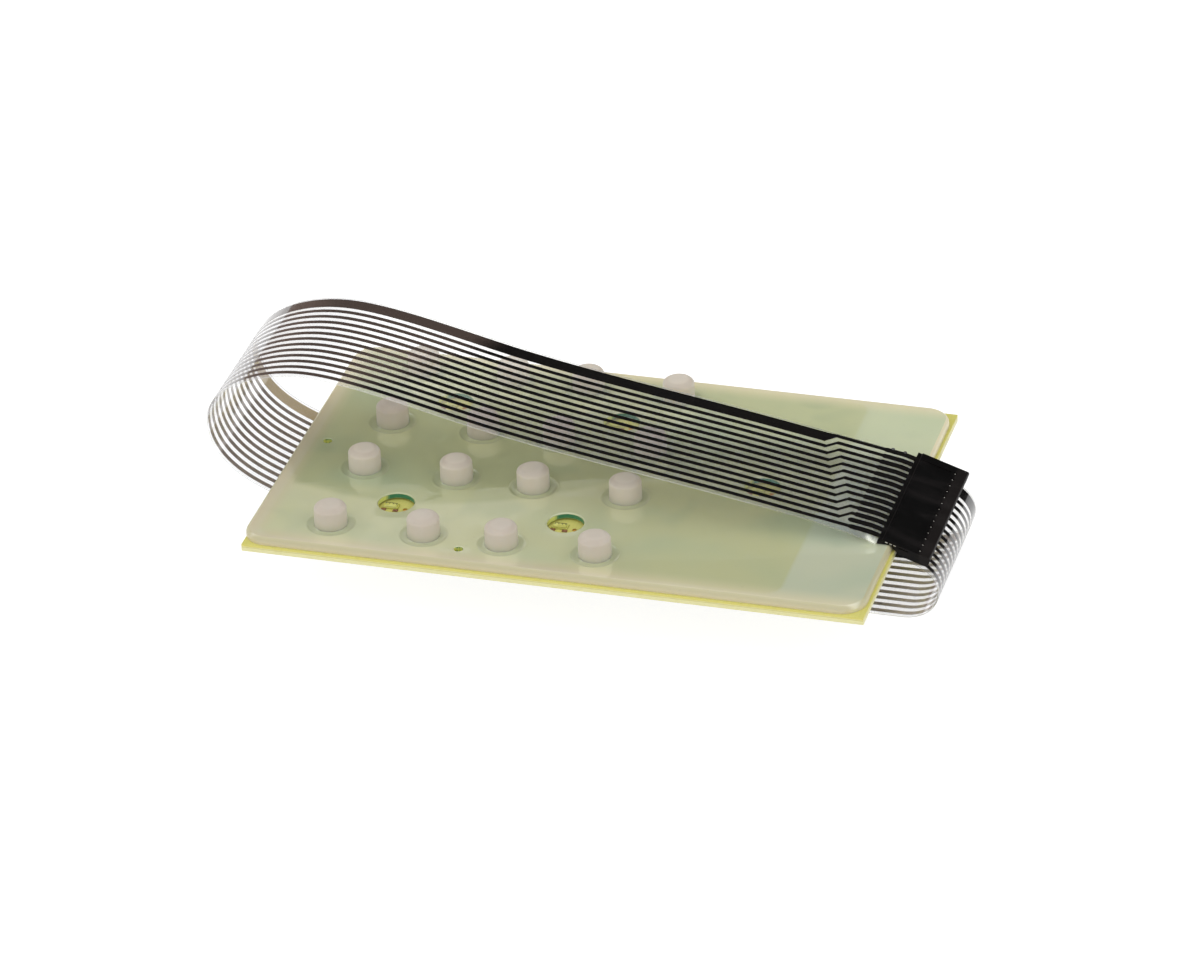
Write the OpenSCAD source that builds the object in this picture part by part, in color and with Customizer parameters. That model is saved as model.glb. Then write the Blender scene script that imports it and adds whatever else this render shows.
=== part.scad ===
// Rubber keypad on a circuit board, with a flexible printed tail and a 14-way crimp connector.
// The tail leaves the board's underside at the right, loops under it, comes up round the left
// edge and lies back over the keys. Millimetres. The origin is on the rest plane, under the
// middle of the board; X runs along the board's long side, Y to the back, Z up.

/* [Board] */
// Board width, along X
board_w = 137.5; // [60:0.5:250]
// Board depth, along Y
board_d = 87.5; // [40:0.1:200]
// Board thickness
board_t = 1.6; // [0.8:0.1:3.2]
// Height of the board's top face over the rest plane
board_top = 15.8; // [12:0.1:40]

/* [Rubber mat] */
// Mat thickness over the board
mat_t = 1.7; // [1:0.1:4]
// Gap between the board's edge and the mat's edge
mat_inset = 0.6; // [0:0.1:5]
// How far the mat hangs over the board's left edge
mat_over = 0.6; // [0:0.1:2]
// Corner radius of the mat
mat_corner = 5.5; // [1:0.5:15]
// Rounding of the mat's upper edge
mat_edge = 0.5; // [0.1:0.1:1]
// Width of the part of the mat that is hollow underneath, from the board's left edge
pocket_w = 118.7; // [20:0.1:240]
// Depth of the hollow under the mat
pocket_h = 0.4; // [0.1:0.05:1]

/* [Keys] */
// Key post diameter
key_d = 7.15; // [4:0.05:15]
// Height of a key over the mat
key_h = 5.15; // [1:0.05:12]
// Rounding of a key's upper edge
key_round = 1.2; // [0.1:0.1:2]
// Clear gap round a key
key_gap = 0.12; // [0.05:0.01:0.5]
// Outer diameter of the thin web round a key
web_d = 10.4; // [6:0.1:20]
// Thickness of the mat over the hollow under a web
web_t = 0.5; // [0.2:0.1:1.5]
// Depth of the moat round a key
web_sink = 0.25; // [0.05:0.05:1]
// Travel of a key
key_travel = 0.8; // [0.3:0.1:2]

/* [Lamps] */
// Diameter of the windows in the mat
window_d = 8; // [3:0.1:15]

/* [Tail] */
// Film thickness
film_t = 0.2; // [0.1:0.01:0.5]
// Height of a printed track over the film
track_t = 0.03; // [0.01:0.01:0.1]
// Track pitch
pitch = 2.54; // [1:0.01:5]
// Width of a thin track
track_w = 1.2; // [0.3:0.05:2]
// Width of the broad track at the back
broad_w = 3.6; // [1:0.05:6]
// Width of a finger in front of the connector
finger_w = 1.7; // [0.5:0.05:2.2]
// Reach of the loop past the board's right edge
right_reach = 9.75; // [6:0.05:30]
// Reach of the loop past the board's left edge
left_reach = 16.2; // [8:0.1:40]
// Height of the loop's crest over the board's top face
crest_h = 27; // [15:0.1:60]

/* [Connector] */
// Number of contacts
ways = 14; // [2:1:30]
// Depth of the connector along the tail
conn_l = 12; // [8:0.1:20]
// Wall at the connector's back end, beyond the contacts' pitch
conn_back = 1.3; // [0:0.1:3]
// Wall at its front end
conn_front = 0.3; // [0:0.1:3]
// Tilt of the connector, right end down
conn_tilt = 19; // [0:0.5:45]
// Height of the connector's top over the film's middle
conn_top = 0.6; // [0.4:0.05:2]
// Depth of the housing under the film's middle
conn_under = 1.7; // [1.5:0.05:4]

/* [Hidden] */
key_x = [17.2, 38.1, 55.5, 76.3];
key_y = [9.9, 34.3, 54.6, 78.3];
window_at = [[28.3, 21.5], [66.5, 21.3], [28.2, 66.4], [66.7, 65.7], [104.1, 45.2]];
// Place of a lamp from its window's middle
lamp_shift = [-1.4, 0.3];
mat_hole_at = [[47.1, 5.8], [5.6, 43.6]];
pocket_rim = 3;
pocket_r = 4;
pad_t = 0.04;
pill_d = 5;
pill_t = 0.35;
tail_y0 = 27.1;
tail_y1 = 62.9;
// Centre lines of the printed tracks: the broad one, then the twelve thin ones
broad_y = 60.45;
thin_y = [for (k = [0:11]) 56.86 - pitch * k];
// Centre lines of the fingers in front of the connector
finger_y = [for (k = [0:ways - 1]) 61.94 - pitch * k];
// Entry of the film into the connector, [x, z] from the board's top front left corner
entry = [134, 2.75];
conn_y0 = (finger_y[0] + finger_y[ways - 1] - pitch * ways) / 2 - conn_front;
conn_y1 = conn_y0 + conn_front + pitch * ways + conn_back;
// Depth of the lid that closes over the film, and where the housing under the film starts
lid_l = 8.2;
body_s = 4.7;
film_s = 6.9;
half = film_t / 2;
root_z = -board_t - pad_t - track_t - half;
rest_z = -board_top + track_t + half;
// Knots of the tail's middle line: [x, z, heading in degrees, handle before, handle after, steps]
knots = [
    [121, root_z, 0, 0, 6, 1],
    [139.1, root_z, 0, 6, 4.4, 12],
    [board_w + right_reach - half, (root_z + rest_z) / 2, -90, 3.8, 4, 12],
    [139, rest_z, 180, 4.8, 20, 1],
    [46, rest_z, 180, 20, 17, 12],
    [-2.7, -2.8, 157, 10, 7.6, 6],
    [-left_reach + half, 13.2, 90, 8.6, 8.5, 8],
    [6.3, crest_h - half, 0, 10.5, 10.5, 8],
    [46.1, 19, -12.4, 13, 20, 6],
    [109, 7.75, -10.6, 22, 7, 1],
    [131.2, 3.6, -10.6, 7, 0.9, 4],
    [entry[0], entry[1], -conn_tilt, 1, 2, 1],
    [entry[0] + film_s * cos(conn_tilt), entry[1] - film_s * sin(conn_tilt), -conn_tilt, 2, 0, 0]
];
// A point on the curve between knots i and i + 1
function dir(a) = [cos(a), sin(a)];
function on_curve(i, t) =
    let (a = knots[i], b = knots[i + 1],
         p0 = [a[0], a[1]], p3 = [b[0], b[1]],
         p1 = p0 + a[4] * dir(a[2]), p2 = p3 - b[3] * dir(b[2]))
    pow(1 - t, 3) * p0 + 3 * t * pow(1 - t, 2) * p1 + 3 * t * t * (1 - t) * p2 + pow(t, 3) * p3;
route = concat([for (i = [0:len(knots) - 2]) for (j = [0:knots[i][5] - 1]) on_curve(i, j / knots[i][5])],
    [[knots[12][0], knots[12][1]]]);
last = len(route) - 1;
// Outward direction at each point of the route, stretched so that parallel lines keep their gap
function unit(v) = v / norm(v);
function side(v) = [-v[1], v[0]];
function outward(i) =
    let (a = unit(route[max(i, 1)] - route[max(i, 1) - 1]),
         b = unit(route[min(i, last - 1) + 1] - route[min(i, last - 1)]),
         m = unit(side(a) + side(b)))
    m / (m * side(b));
// Closed outline of the strip between two distances from the middle line
function strip(a, b, i0, i1) = concat(
    [for (i = [i0:i1]) route[i] + a * outward(i)],
    [for (i = [i1:-1:i0]) route[i] + b * outward(i)]);
// Index of the knot that starts the last straight stretch, and of the bend's start
i_flat = 66;
i_bend = 67;

function v3(p, y) = [p[0], y, p[1]];

// Moves the drawing frame, at the board's front left top corner, to the part's own frame
module place() translate([-board_w / 2, -board_d / 2, board_top]) children();

// A strip outline drawn in X and Z, spread from y0 to y1
module spread(outline, y0, y1)
    translate([0, y1, 0]) rotate([90, 0, 0]) linear_extrude(height = y1 - y0) polygon(outline);

// The connector's own frame: X into the connector, Z out of its upper face
module at_connector() translate([entry[0], 0, entry[1]]) rotate([0, conn_tilt, 0]) children();

module circuit_board() color([0.81, 0.79, 0.52]) place()
    translate([0, 0, -board_t]) cube([board_w, board_d, board_t]);

// Comb-shaped contact pads on the board, one pair under each key
module switch_pads() color([0.75, 0.6, 0.3]) place()
    for (x = key_x, y = key_y) translate([x, y, 0]) {
        difference() {
            cylinder(d = pill_d + 1, h = pad_t, $fn = 48);
            translate([-0.25, -5, -1]) cube([0.5, 10, 2]);
        }
    }

// One corner of the mat, with its rounded upper edge
module mat_corner_post(x, y) translate([x, y, 0]) rotate_extrude($fn = 64)
    polygon(concat([[0, 0], [mat_corner, 0]],
        [for (a = [0:15:90]) [mat_corner - mat_edge, mat_t - mat_edge] + mat_edge * dir(a)],
        [[0, mat_t]]));

module key_mat() color([0.78, 0.78, 0.63]) place() difference() {
    hull() for (x = [mat_corner - mat_over, board_w - mat_inset - mat_corner],
                y = [mat_inset + mat_corner, board_d - mat_inset - mat_corner])
        mat_corner_post(x, y);
    for (x = key_x, y = key_y) translate([x, y, 0]) {
        translate([0, 0, -1]) cylinder(d = key_d + 2 * key_gap, h = mat_t + 2, $fn = 48);
        translate([0, 0, -1]) cylinder(d = web_d, h = 1 + mat_t - web_t, $fn = 48);
        translate([0, 0, mat_t - web_sink]) cylinder(d = web_d - 0.6, h = 1, $fn = 48);
    }
    for (p = window_at) translate([p[0], p[1], -1]) cylinder(d = window_d, h = mat_t + 2, $fn = 48);
    for (p = mat_hole_at) translate([p[0], p[1], -1]) cylinder(d = 2, h = mat_t + 2, $fn = 32);
    // The hollow underneath has rounded corners
    for (g = [0, pocket_r]) translate([pocket_rim + g, pocket_rim + pocket_r - g, -1])
        cube([pocket_w - pocket_rim - 2 * g, board_d - 2 * pocket_rim - 2 * pocket_r + 2 * g, 1 + pocket_h]);
    for (x = [pocket_rim + pocket_r, pocket_w - pocket_r],
         y = [pocket_rim + pocket_r, board_d - pocket_rim - pocket_r])
        translate([x, y, -1]) cylinder(r = pocket_r, h = 1 + pocket_h, $fn = 48);
}

module key(r, c) color([0.78, 0.75, 0.72]) place()
    translate([key_x[c - 1], key_y[r - 1], pad_t + key_travel + pill_t]) rotate_extrude($fn = 48)
        let (h = mat_t + key_h - pad_t - key_travel - pill_t)
        polygon(concat([[0, 0], [key_d / 2, 0]],
            [for (a = [0:15:90]) [key_d / 2 - key_round, h - key_round] + key_round * dir(a)],
            [[0, h]]));

module pill(r, c) color([0.1, 0.1, 0.1]) place()
    translate([key_x[c - 1], key_y[r - 1], pad_t + key_travel]) cylinder(d = pill_d, h = pill_t, $fn = 48);

// Lamp: a flat chip with a smaller lens on it and two soldered feet in front
module lamp(n) color([0.85, 0.85, 0.6]) place()
    translate([window_at[n - 1][0] + lamp_shift[0], window_at[n - 1][1] + lamp_shift[1], 0]) {
        translate([-1.7, -0.7, 0]) cube([3.4, 2, 0.45]);
        translate([-1.45, -0.55, 0.45]) cube([2.9, 1.7, 0.25]);
        for (x = [-1.95, 0.75]) translate([x, -1.6, 0]) cube([1.2, 0.95, 0.2]);
    }

// The film flares at its near edge just before the connector and narrows again where it enters
module tail_film() color([0.9, 0.9, 0.88, 0.4]) place() intersection() {
    spread(strip(-half, half, 0, last), tail_y0 - 2, tail_y1);
    union() {
        translate([-50, tail_y0, -30]) cube([300, tail_y1 - tail_y0 + 1, 30]);
        linear_extrude(height = 60) polygon([[-50, tail_y0], [118, tail_y0], [127, tail_y0 - 0.7],
            [133.6, tail_y0 - 1.8], [133.95, tail_y0 - 1.8], [134.05, conn_y0 + 0.55], [150, conn_y0 + 0.55],
            [150, tail_y1 + 1], [-50, tail_y1 + 1]]);
    }
}

// A track of constant place across the tail, between two points of the route
module track(y, w, i0, i1) spread(strip(half, half + track_t, i0, i1), y - w / 2, y + w / 2);

// The plane of the last straight stretch, X along the tail and Y as on the board
module on_flat() let (a = route[i_flat], d = route[i_bend] - a)
    translate([a[0], 0, a[1]]) rotate([0, -atan2(d[1], d[0]), 0]) translate([0, 0, half])
        linear_extrude(height = track_t) children();

module tail_tracks() color([0.1, 0.08, 0.07]) place() {
    flat_l = norm(route[i_bend] - route[i_flat]);
    track(broad_y, broad_w, 0, i_flat);
    for (y = thin_y) track(y, track_w, 0, i_flat);
    on_flat() {
        // The broad track narrows to the first finger
        let (a = 5.6, b = 7.7)
        polygon([[0, broad_y - broad_w / 2], [a, broad_y - broad_w / 2],
            [b, finger_y[0] - track_w / 2], [18.6, finger_y[0] - track_w / 2],
            [18.6, finger_y[0] - finger_w / 2], [flat_l, finger_y[0] - finger_w / 2],
            [flat_l, finger_y[0] + finger_w / 2], [18.6, finger_y[0] + finger_w / 2],
            [18.6, finger_y[0] + track_w / 2], [b, finger_y[0] + track_w / 2],
            [a, broad_y + broad_w / 2], [0, broad_y + broad_w / 2]]);
        // Eleven thin tracks step back by one pitch, each a little farther along
        for (k = [0:10]) let (a = 6.4 + 0.945 * k, b = a + 2.05, w = track_w / 2, v = finger_w / 2,
                              y = thin_y[k], f = finger_y[k + 1])
            polygon([[0, y - w], [a, y - w], [b, f - w], [18.6, f - w], [18.6, f - v], [flat_l, f - v],
                [flat_l, f + v], [18.6, f + v], [18.6, f + w], [b, f + w], [a, y + w], [0, y + w]]);
        // The thirteenth finger stands alone
        union() {
            translate([18.6, finger_y[12] - finger_w / 2]) square([flat_l - 18.6, finger_w]);
            translate([18.6, finger_y[12]]) circle(d = finger_w, $fn = 24);
        }
        // The last thin track runs straight on
        translate([0, finger_y[13] - track_w / 2]) square([18.6, track_w]);
        translate([18.6, finger_y[13] - finger_w / 2]) square([flat_l - 18.6, finger_w]);
    }
    for (y = finger_y) track(y, finger_w, i_bend, last);
}

// Pads on the board's underside that the tail's end is bonded to
module tail_pads() color([0.75, 0.6, 0.3]) place() {
    translate([122, broad_y - broad_w / 2, -board_t - pad_t]) cube([8, broad_w, pad_t]);
    for (y = thin_y) translate([122, y - track_w / 2, -board_t - pad_t]) cube([8, track_w, pad_t]);
}

// Housing: a block beyond the board's edge, with a tunnel, a mouth and a small window per contact,
// a wedge under the film that lies over the mat, and a cheek at each end that joins the two
module connector_housing() color([0.08, 0.07, 0.07]) place() at_connector() difference() {
    union() {
        spread([[body_s, -conn_under], [conn_l - 0.3, -conn_under], [conn_l, -conn_under + 0.3],
            [conn_l, conn_top - 0.3], [conn_l - 0.3, conn_top], [lid_l, conn_top], [lid_l, half + track_t],
            [film_s + 0.1, half + track_t], [film_s + 0.1, -half], [body_s, -half]], conn_y0, conn_y1);
        spread([[0, -1], [2.3, -0.21], [2.3, -half], [0, -half]], conn_y0, conn_y1);
        for (y = [[conn_y0, conn_y0 + 0.5], [tail_y1 + 0.1, conn_y1]])
            spread([[0, -1], [2.8, -0.04], [3.15, -0.04], [3.6, -0.7], [body_s + 0.1, -1.2],
                [body_s + 0.1, half + track_t], [0, half + track_t]], y[0], y[1]);
    }
    for (y = finger_y) {
        translate([7.4, y - 0.85, -1.4]) cube([5, 1.7, 1.1]);
        translate([conn_l - 0.35, y - 1, -1.52]) cube([1, 2, 1.34]);
        translate([4, y - 0.6, -0.36]) cube([4.05, 1.2, 0.36]);
        translate([8.9, y - 0.3, -0.5]) cube([0.6, 0.6, 2]);
    }
}

// Lid: a plate over the film, with a low lip in front, a sunk panel and a raised band at the far end
module connector_cover() color([0.08, 0.07, 0.07]) place() at_connector() difference() {
    spread([[0, half + track_t], [lid_l, half + track_t], [lid_l, conn_top], [1, conn_top],
        [0.8, conn_top - 0.25], [0, conn_top - 0.25]], conn_y0, conn_y1);
    translate([1.4, conn_y0 + 0.9, conn_top - 0.12]) cube([8, conn_y1 - conn_y0 - 3.4, 1]);
}

// Contacts: a blade under the film and a box for a square post
module crimp_contacts() color([0.8, 0.78, 0.7]) place() at_connector() for (y = finger_y) difference() {
    union() {
        translate([3.7, y - 0.5, -0.34]) cube([4.3, 1, 0.34 - half]);
        translate([7.5, y - 0.75, -1.36]) cube([3.6, 1.5, 1.04]);
    }
    translate([7, y - 0.57, -1.2]) cube([5, 1.14, 0.72]);
}

circuit_board();
switch_pads();
key_mat();
key(1, 1);  // key_r1c1
key(1, 2);  // key_r1c2
key(1, 3);  // key_r1c3
key(1, 4);  // key_r1c4
key(2, 1);  // key_r2c1
key(2, 2);  // key_r2c2
key(2, 3);  // key_r2c3
key(2, 4);  // key_r2c4
key(3, 1);  // key_r3c1
key(3, 2);  // key_r3c2
key(3, 3);  // key_r3c3
key(3, 4);  // key_r3c4
key(4, 1);  // key_r4c1
key(4, 2);  // key_r4c2
key(4, 3);  // key_r4c3
key(4, 4);  // key_r4c4
pill(1, 1);  // pill_r1c1
pill(1, 2);  // pill_r1c2
pill(1, 3);  // pill_r1c3
pill(1, 4);  // pill_r1c4
pill(2, 1);  // pill_r2c1
pill(2, 2);  // pill_r2c2
pill(2, 3);  // pill_r2c3
pill(2, 4);  // pill_r2c4
pill(3, 1);  // pill_r3c1
pill(3, 2);  // pill_r3c2
pill(3, 3);  // pill_r3c3
pill(3, 4);  // pill_r3c4
pill(4, 1);  // pill_r4c1
pill(4, 2);  // pill_r4c2
pill(4, 3);  // pill_r4c3
pill(4, 4);  // pill_r4c4
lamp(1);  // lamp_1
lamp(2);  // lamp_2
lamp(3);  // lamp_3
lamp(4);  // lamp_4
lamp(5);  // lamp_5
tail_film();
tail_tracks();
tail_pads();
connector_housing();
connector_cover();
crimp_contacts();
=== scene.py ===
"""Rubber keypad on a circuit board, with a clear printed tail and a black crimp connector.

Sizes are worked out in millimetres from the board's front left top corner, as the part's source
has them: X along the board's long side, Y to the back, Z up from the board's top face.
"""
import math

import bmesh
import bpy
import numpy as np
from bpy.props import FloatProperty, FloatVectorProperty, PointerProperty
from bpy.types import Operator, Panel, PropertyGroup
from mathutils import Matrix, Vector
from mathutils.geometry import delaunay_2d_cdt


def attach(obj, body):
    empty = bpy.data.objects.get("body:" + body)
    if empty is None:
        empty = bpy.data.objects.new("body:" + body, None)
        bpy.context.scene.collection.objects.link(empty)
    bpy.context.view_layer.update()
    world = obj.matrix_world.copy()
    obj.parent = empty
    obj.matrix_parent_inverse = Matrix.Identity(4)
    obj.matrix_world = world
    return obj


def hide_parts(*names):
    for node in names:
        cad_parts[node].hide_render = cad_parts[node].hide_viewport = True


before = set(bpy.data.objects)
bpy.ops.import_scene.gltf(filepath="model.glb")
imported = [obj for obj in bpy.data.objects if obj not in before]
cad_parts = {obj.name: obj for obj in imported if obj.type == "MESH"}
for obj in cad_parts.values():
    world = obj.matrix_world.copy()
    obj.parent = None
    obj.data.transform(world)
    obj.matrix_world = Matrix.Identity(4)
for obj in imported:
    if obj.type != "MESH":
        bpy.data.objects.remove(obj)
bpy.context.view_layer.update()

bl_info = {
    "name": "Rubber keypad with a flexible tail",
    "version": (1, 0, 0),
    "blender": (4, 5, 0),
    "location": "View3D > Sidebar > Keypad",
    "description": "Dresses a keypad module: rubber mat, keys, lamps, clear tail and connector",
    "category": "Add Mesh",
}

BOARD = (137.5, 87.5, 1.6)
# Height of the board's top face over the table
BOARD_TOP = 15.8
KEY_X = (17.2, 38.1, 55.5, 76.3)
KEY_Y = (9.9, 34.3, 54.6, 78.3)
WINDOWS = ((28.3, 21.5), (66.5, 21.3), (28.2, 66.4), (66.7, 65.7), (104.1, 45.2))
MAT_HOLES = ((47.1, 5.8), (5.6, 43.6))
# A lamp lies a little off the middle of its window
LAMP_SHIFT = (-1.4, 0.3)
# Height of a key's foot over the board, and the gap that shows round the key in the mat's web
KEY_FOOT, KEY_GAP = 1.19, 0.03
WEB_R, WEB_UNDER_R, WEB_THICKNESS = 6.0, 5.2, 0.5
# Hollow under the mat, and the outline at which its tone starts in the mat's top
HOLLOW_X, HOLLOW_Y, HOLLOW_TOP = (3, 118.7), (3, BOARD[1] - 3), 0.4
SHADE_X, SHADE_Y = (2.0, 118.9), (2.0, BOARD[1] - 2.0)
SMALL_HOLE_R = 1.0
# Standard pitch of the printed lines and the contacts
PITCH = 2.54
TAIL_Y = (27.1, 62.9)
BROAD_Y = 60.45
THIN_Y = 56.86 - PITCH * np.arange(12)
FINGER_Y = 61.94 - PITCH * np.arange(14)
# The connector's mouth as X and Z, its tilt, and the length of the tail inside it
ENTRY = (134.0, 2.75)
TILT = math.radians(19)
TAIL_INSIDE = 6.9
# Places along the tail, from the start of its last straight stretch: where the broad track turns
# into the first finger, where the thin tracks step over one after the other, and where the
# fingers widen; the lone finger starts in a half circle
BROAD_TURN = (5.6, 7.7)
JOG_START, JOG_STEP, JOG_RUN, JOGS = 6.4, 0.945, 2.05, 11
FINGERS_START = 18.6
ROUND_END_R = 0.85
# Near edge of the film in front of the connector, as X and Y
FLARE = ((118, 27.1), (127, 26.4), (133.6, 25.3), (133.95, 25.3), (134.05, 27.9))
INK_DROPS_X = (128.8, 131.5)
# Borders between tones on the tail lean: they follow X less this share of Y
SLANT = 0.6


def tone(r, g, b):
    """Scene colour of a tone given as it shows on a screen, each channel from 0 to 255."""
    c = np.array((r, g, b)) / 255
    return tuple(np.where(c <= 0.04045, c / 12.92, ((c + 0.055) / 1.055) ** 2.4))


def length(name, description, mm):
    return FloatProperty(name=name, description=description, default=mm / 1000, min=0,
                         unit="LENGTH", precision=5)


def colour(name, description, *rgb):
    return FloatVectorProperty(name=name, description=description, default=tone(*rgb),
                               size=3, min=0, max=1, subtype="COLOR")


class KeypadMatSettings(PropertyGroup):
    thickness: length("Mat thickness", "Thickness of the rubber mat over the board", 1.7)
    inset: length("Mat inset", "Gap between the board's edge and the mat's edge", 0.6)
    over: length("Mat overhang", "How far the mat hangs over the board's left edge", 0.6)
    corner: length("Mat corner", "Corner radius of the mat", 5.5)
    edge: length("Edge rounding", "Rounding of the mat's upper edge", 0.5)
    window: length("Window diameter", "Diameter of the round windows over the lamps", 8.0)
    key_diameter: length("Key diameter", "Diameter of a key post", 7.15)
    key_height: length("Key height", "Height of a key over the mat", 5.15)
    key_rounding: length("Key rounding", "Rounding of a key's upper edge", 1.2)
    rubber: colour("Rubber", "Mat over the board", 199, 206, 181)
    rubber_hollow: colour("Hollow rubber", "Mat where it is hollow underneath", 192, 196, 151)
    rubber_web: colour("Web rubber", "Thin web round a key", 170, 178, 146)
    rubber_rim: colour("Rim rubber", "Mat near its rim", 212, 198, 166)
    key: colour("Keys", "Key posts", 196, 187, 175)
    laminate: colour("Laminate", "Circuit board", 212, 206, 116)


class KeypadTailSettings(PropertyGroup):
    film: length("Film thickness", "Thickness of the clear film", 0.2)
    ink: length("Ink thickness", "Height of a printed track over the film", 0.03)
    track: length("Track width", "Width of a thin track", 1.2)
    broad: length("Broad track width", "Width of the broad track at the back", 3.6)
    finger: length("Finger width", "Width of a finger in front of the connector", 1.7)
    ink_face: colour("Ink face", "Printed side of a track", 10, 8, 7)
    ink_back: colour("Ink back", "Track seen through the film", 158, 144, 126)
    plastic: colour("Connector plastic", "Housing and lid of the connector", 10, 9, 9)


# Mesh helpers

def grid_faces(rows, cols):
    """Quads between neighbours of a grid of points whose rows are closed, numbered row by row."""
    i = np.arange(rows - 1)[:, None] * cols
    j = np.arange(cols)[None, :]
    k, m = i + cols, (j + 1) % cols
    return np.stack([i + j, i + m, k + m, k + j], -1).reshape(-1, 4)


class Shape:
    """Collects grids of points and their faces, in millimetres from the board's corner."""

    def __init__(self):
        self.points, self.faces, self.slots, self.marks, self.count = [], [], [], [], 0

    def add(self, points, faces, slot=0, mark=0.0):
        points = np.asarray(points, float).reshape(-1, 3)
        faces = np.asarray(faces)
        self.points.append(points)
        self.faces += (faces + self.count).tolist()
        self.slots.append(np.full(len(faces), slot) if np.isscalar(slot) else np.asarray(slot))
        self.marks.append(np.broadcast_to(np.asarray(mark, float).reshape(-1, 2) if np.ndim(mark) else
                                          np.array([[mark, mark]]), (len(points), 2)))
        self.count += len(points)

    def grid(self, points, slot=0, mark=0.0, flip=False):
        """points has closed rows, columns and three coordinates."""
        faces = grid_faces(points.shape[0], points.shape[1])
        self.add(points, faces[:, ::-1] if flip else faces, slot, mark)

    def lathe(self, x, y, profile, steps=64, slot=0, mark=0.0):
        """A profile of radius and height turned about the upright line through x and y. With the
        profile going up on its outside and then inwards, the faces point out."""
        a = np.arange(steps) * 2 * np.pi / steps
        r, z = np.asarray(profile, float).T
        p = np.stack([x + r[:, None] * np.cos(a), y + r[:, None] * np.sin(a),
                      np.broadcast_to(z[:, None], (len(r), steps))], -1)
        if np.ndim(mark):
            mark = np.repeat(np.asarray(mark, float), steps, 0)
        self.grid(p, slot, mark)

    def sheet(self, loops, z, up=True, mark=0.0):
        """A flat sheet at height z between closed outlines: the first is its rim, the others its
        holes. Where a point lies inside an odd number of outlines, the sheet covers it."""
        flat = np.concatenate(loops)
        ends = np.cumsum([0] + [len(p) for p in loops])
        edges = np.concatenate([np.stack([np.arange(a, b), np.roll(np.arange(a, b), -1)], -1)
                                for a, b in zip(ends[:-1], ends[1:])])
        out = delaunay_2d_cdt([Vector(p) for p in flat.tolist()], edges.tolist(), [], 1, 1e-5)
        xy = np.array([tuple(p) for p in out[0]])
        tri = np.array(out[2])
        a, b, c = xy[tri[:, 0]], xy[tri[:, 1]], xy[tri[:, 2]]
        turn = (b[:, 0] - a[:, 0]) * (c[:, 1] - a[:, 1]) - (b[:, 1] - a[:, 1]) * (c[:, 0] - a[:, 0])
        tri[(turn > 0) != up] = tri[(turn > 0) != up][:, ::-1]
        (mx, my), p, q = ((a + b + c) / 3).T[:, :, None], flat[edges[:, 0]], flat[edges[:, 1]]
        run, rise = (q - p).T
        passes = (p[:, 1] > my) != (q[:, 1] > my)
        crossed = passes & (mx < run * (my - p[:, 1]) / np.where(rise == 0, 1, rise) + p[:, 0])
        tri = tri[crossed.sum(1) % 2 == 1]
        self.add(at_height(xy, z), tri, mark=mark)

    def box(self, x, y, z, bevel, slot=0):
        """A block between two corners whose edges are cut off by bevel: each face is drawn in by
        the bevel, and strips and corner triangles join the faces."""
        lo, hi = np.array([x[0], y[0], z[0]], float), np.array([x[1], y[1], z[1]], float)
        signs = np.array([[i, j, k] for i in (0, 1) for j in (0, 1) for k in (0, 1)])
        corner = lo + signs * (hi - lo)
        inwards = (1 - 2 * signs) * bevel
        pts = np.stack([corner + inwards * np.array(m) for m in ((0, 1, 1), (1, 0, 1), (1, 1, 0))], 1)
        mesh = bmesh.new()
        verts = [mesh.verts.new(p) for p in pts.reshape(-1, 3)]
        bmesh.ops.convex_hull(mesh, input=verts)
        mesh.normal_update()
        bmesh.ops.dissolve_limit(mesh, angle_limit=0.01, verts=mesh.verts, edges=mesh.edges)
        mesh.verts.index_update()
        points = np.array([v.co[:] for v in mesh.verts])
        for face in mesh.faces:
            self.faces.append([v.index + self.count for v in face.verts])
        self.slots.append(np.full(len(mesh.faces), slot))
        self.points.append(points)
        self.marks.append(np.zeros((len(points), 2)))
        self.count += len(points)
        mesh.free()


def piece(name, shape, materials, body="module", stands_for=(), merge=True, sharp=35, marks=()):
    """Makes one object of a shape, at the origin, and hangs it on its body."""
    points = (np.concatenate(shape.points) + (-BOARD[0] / 2, -BOARD[1] / 2, BOARD_TOP)) * 0.001
    mesh = bpy.data.meshes.new(name)
    mesh.from_pydata(points.tolist(), [], shape.faces)
    mesh.polygons.foreach_set("material_index", np.concatenate(shape.slots).astype(np.int32))
    for column, mark in enumerate(marks):
        layer = mesh.attributes.new(mark, "FLOAT", "POINT")
        layer.data.foreach_set("value", np.concatenate(shape.marks)[:, column].astype(np.float32))
    if merge:
        work = bmesh.new()
        work.from_mesh(mesh)
        bmesh.ops.remove_doubles(work, verts=work.verts, dist=2e-6)
        work.to_mesh(mesh)
        work.free()
    for material in materials:
        mesh.materials.append(material)
    mesh.polygons.foreach_set("use_smooth", np.ones(len(mesh.polygons), bool))
    mesh.set_sharp_from_angle(angle=math.radians(sharp))
    mesh.update()
    thing = bpy.data.objects.new(name, mesh)
    bpy.context.scene.collection.objects.link(thing)
    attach(thing, body)
    if stands_for:
        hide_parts(*stands_for)


def at_height(outline, z):
    """An outline's points at height z."""
    return np.column_stack([outline, np.full(len(outline), z)])


def rounded_outline(inset, corner, x, y):
    """Rounded rectangle, counter-clockwise: quarter circles of the corner radius less the inset,
    about four fixed centres."""
    a = np.linspace(0, np.pi / 2, 13)
    arcs = []
    for turn, (cx, cy) in enumerate(((x[1] - corner, y[1] - corner), (x[0] + corner, y[1] - corner),
                                     (x[0] + corner, y[0] + corner), (x[1] - corner, y[0] + corner))):
        b = a + turn * np.pi / 2
        arcs.append(np.stack([cx + (corner - inset) * np.cos(b), cy + (corner - inset) * np.sin(b)], -1))
    return np.concatenate(arcs)


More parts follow.
